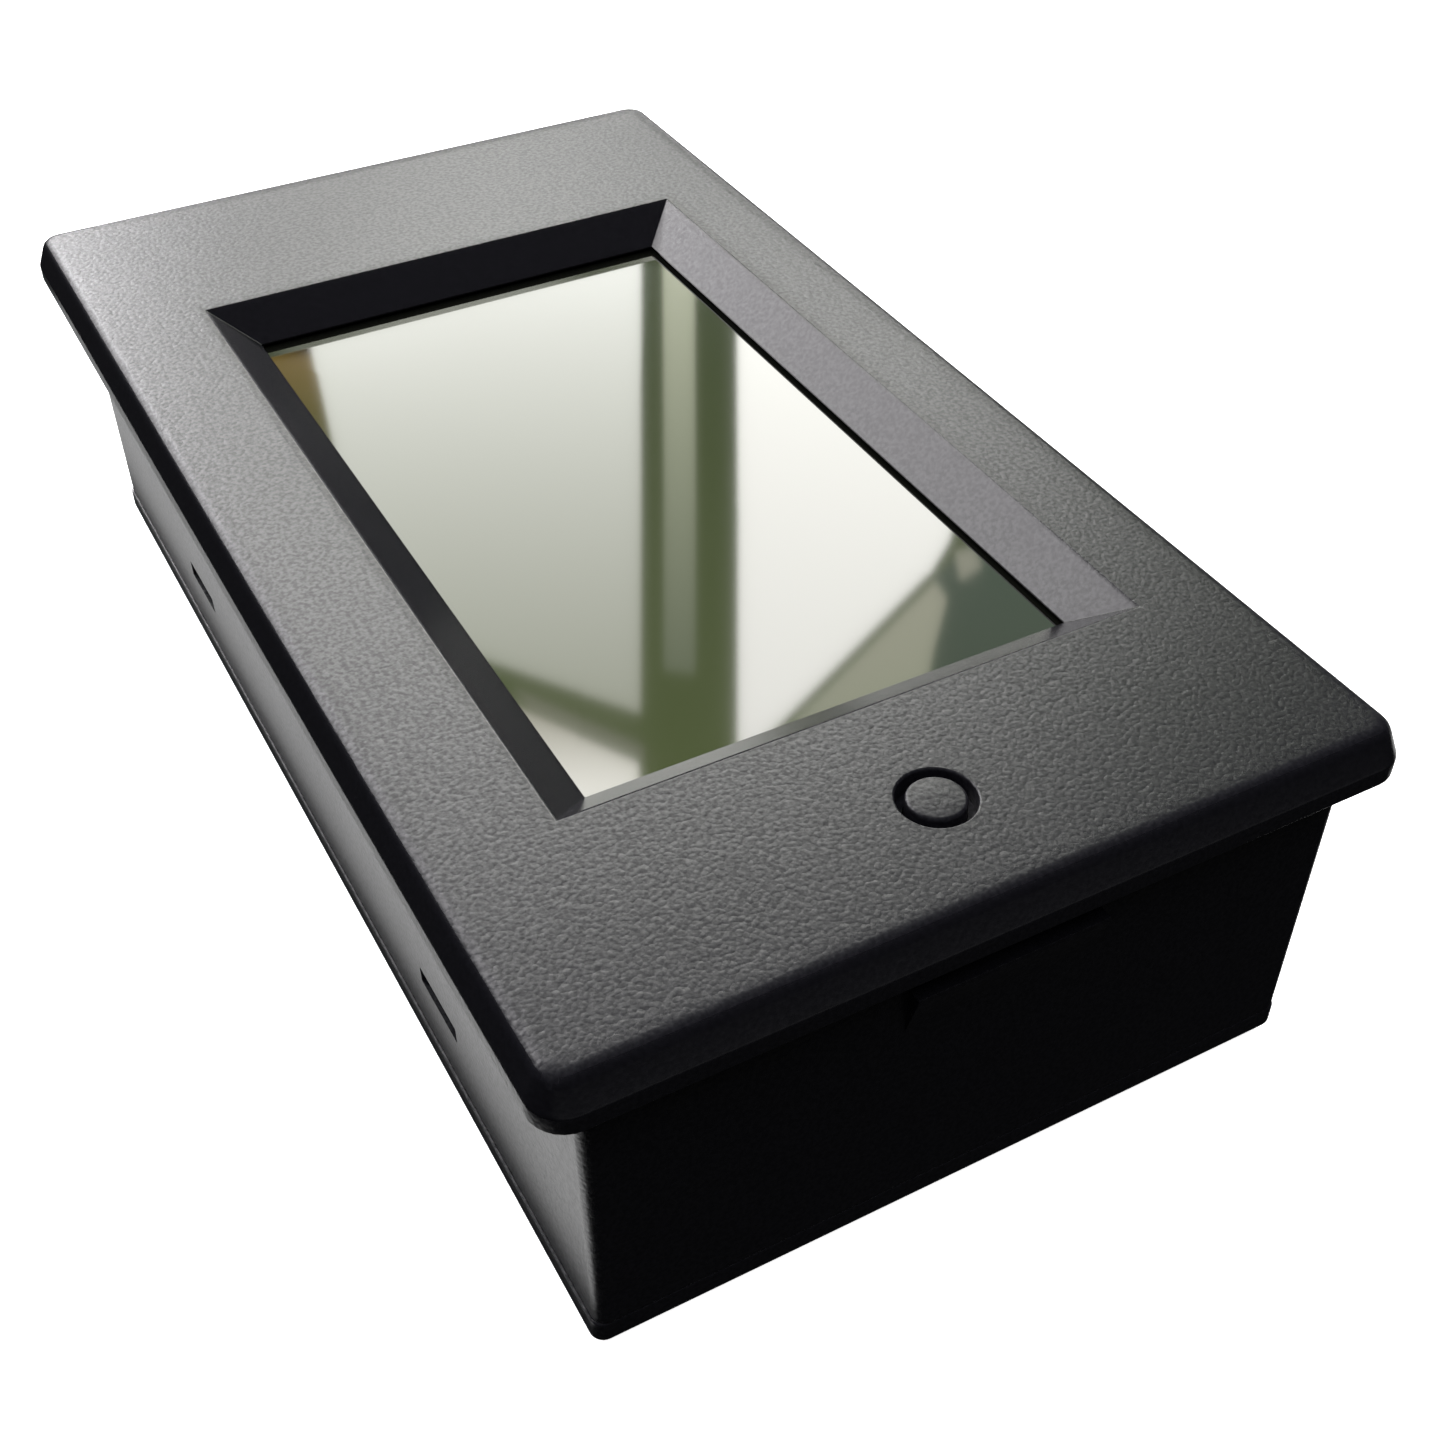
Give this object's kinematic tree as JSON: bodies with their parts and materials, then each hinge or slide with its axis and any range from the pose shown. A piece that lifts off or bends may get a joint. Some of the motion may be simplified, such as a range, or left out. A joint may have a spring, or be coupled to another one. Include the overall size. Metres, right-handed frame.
{
  "type": "panel meter",
  "caption": "Snap-in panel meter: flanged black box with a recessed liquid-crystal window, a round push button and screw terminals.",
  "frame": {"origin": "middle of the rear face, where the box touches a surface it lies on", "axes": "+Z out of the display, +X along the long side towards the button, +Y towards the top of the display"},
  "size_m": [0.0896, 0.05, 0.0244],
  "materials": {
    "housing": "black, fine spark-eroded grain, with a smoother bevelled edge",
    "cover": "black, fine spark-eroded grain",
    "label": "blank satin label plate",
    "button": "black, fine grain",
    "gasket": "black foam",
    "film": "glossy polarising film, grey-green",
    "glass": "clear polished glass",
    "rear_film": "silvery grey-green film",
    "guide": "frosted light guide",
    "tray": "white tray",
    "led": "pale yellow diode lens",
    "tinned": "tinned",
    "board": "green solder mask",
    "screw_steel": "zinc plated",
    "switch_plastic": "black",
    "terminal_plastic": "black, satin",
    "brass": "bare brass",
    "chip": "black moulding compound",
    "can": "drawn can",
    "capacitor": "dark blue sleeve",
    "film_box": "yellow box",
    "varistor": "blue lacquer",
    "resistor": "pale green lacquer",
    "shunt": "bare resistance alloy"
  },
  "bodies": {
    "case": {"front_housing": "housing", "rear_cover": "cover", "rear_label": "label", "window_gasket": "gasket", "lcd_front_film": "film", "lcd_front_glass": "glass", "lcd_rear_glass": "glass", "lcd_rear_film": "rear_film", "light_guide": "guide", "backlight_tray": "tray", "backlight_leds": "led", "lcd_pins": "tinned", "main_board": "board", "board_screw_1": "screw_steel", "board_screw_2": "screw_steel", "board_screw_3": "screw_steel", "board_screw_4": "screw_steel", "switch_body": "switch_plastic", "switch_cover": "can", "switch_dome": "can", "switch_legs": "tinned", "terminal_block": "terminal_plastic", "terminal_strips": "brass", "metering_chip": "chip", "control_chip": "chip", "memory_chip": "chip", "regulator": "chip", "crystal_can": "can", "bridge_rectifier": "chip", "smoothing_capacitor": "capacitor", "film_capacitor": "film_box", "varistor": "varistor", "fuse_resistor": "resistor", "current_shunt": "shunt"},
    "button": {"button_cap": "button"},
    "plunger": {"switch_plunger": "switch_plastic"},
    "screw_1": {"terminal_screw_1": "screw_steel"},
    "clamp_1": {"terminal_clamp_1": "brass"},
    "screw_2": {"terminal_screw_2": "screw_steel"},
    "clamp_2": {"terminal_clamp_2": "brass"},
    "screw_3": {"terminal_screw_3": "screw_steel"},
    "clamp_3": {"terminal_clamp_3": "brass"},
    "screw_4": {"terminal_screw_4": "screw_steel"},
    "clamp_4": {"terminal_clamp_4": "brass"}
  },
  "joints": [
    {"name": "button_press", "type": "slide", "parent": "case", "child": "button", "axis": [0, 0, -1], "range_m": [0, 0.0003], "stiffness_N_per_m": 2500, "springref_m": -0.0001},
    {"name": "plunger_press", "type": "slide", "parent": "case", "child": "plunger", "axis": [0, 0, -1], "range_m": [0, 0.0003], "deforming": ["switch_dome"]},
    {"name": "screw_1_turn", "type": "hinge", "parent": "case", "child": "screw_1", "pos_m": [-0.0354, -0.01143, 0.0026], "axis": [0, 0, 1], "range_deg": [0, 1440]},
    {"name": "clamp_1_rise", "type": "slide", "parent": "case", "child": "clamp_1", "axis": [0, 0, -1], "range_m": [0, 0.002]},
    {"name": "screw_2_turn", "type": "hinge", "parent": "case", "child": "screw_2", "pos_m": [-0.0354, -0.00381, 0.0026], "axis": [0, 0, 1], "range_deg": [0, 1440]},
    {"name": "clamp_2_rise", "type": "slide", "parent": "case", "child": "clamp_2", "axis": [0, 0, -1], "range_m": [0, 0.002]},
    {"name": "screw_3_turn", "type": "hinge", "parent": "case", "child": "screw_3", "pos_m": [-0.0354, 0.00381, 0.0026], "axis": [0, 0, 1], "range_deg": [0, 1440]},
    {"name": "clamp_3_rise", "type": "slide", "parent": "case", "child": "clamp_3", "axis": [0, 0, -1], "range_m": [0, 0.002]},
    {"name": "screw_4_turn", "type": "hinge", "parent": "case", "child": "screw_4", "pos_m": [-0.0354, 0.01143, 0.0026], "axis": [0, 0, 1], "range_deg": [0, 1440]},
    {"name": "clamp_4_rise", "type": "slide", "parent": "case", "child": "clamp_4", "axis": [0, 0, -1], "range_m": [0, 0.002]}
  ],
  "couplings": [
    {"joint": "plunger_press", "follows": "button_press", "ratio": 1},
    {"joint": "screw_1_turn", "follows": "clamp_1_rise", "rad_per_m": 12566},
    {"joint": "screw_2_turn", "follows": "clamp_2_rise", "rad_per_m": 12566},
    {"joint": "screw_3_turn", "follows": "clamp_3_rise", "rad_per_m": 12566},
    {"joint": "screw_4_turn", "follows": "clamp_4_rise", "rad_per_m": 12566}
  ]
}
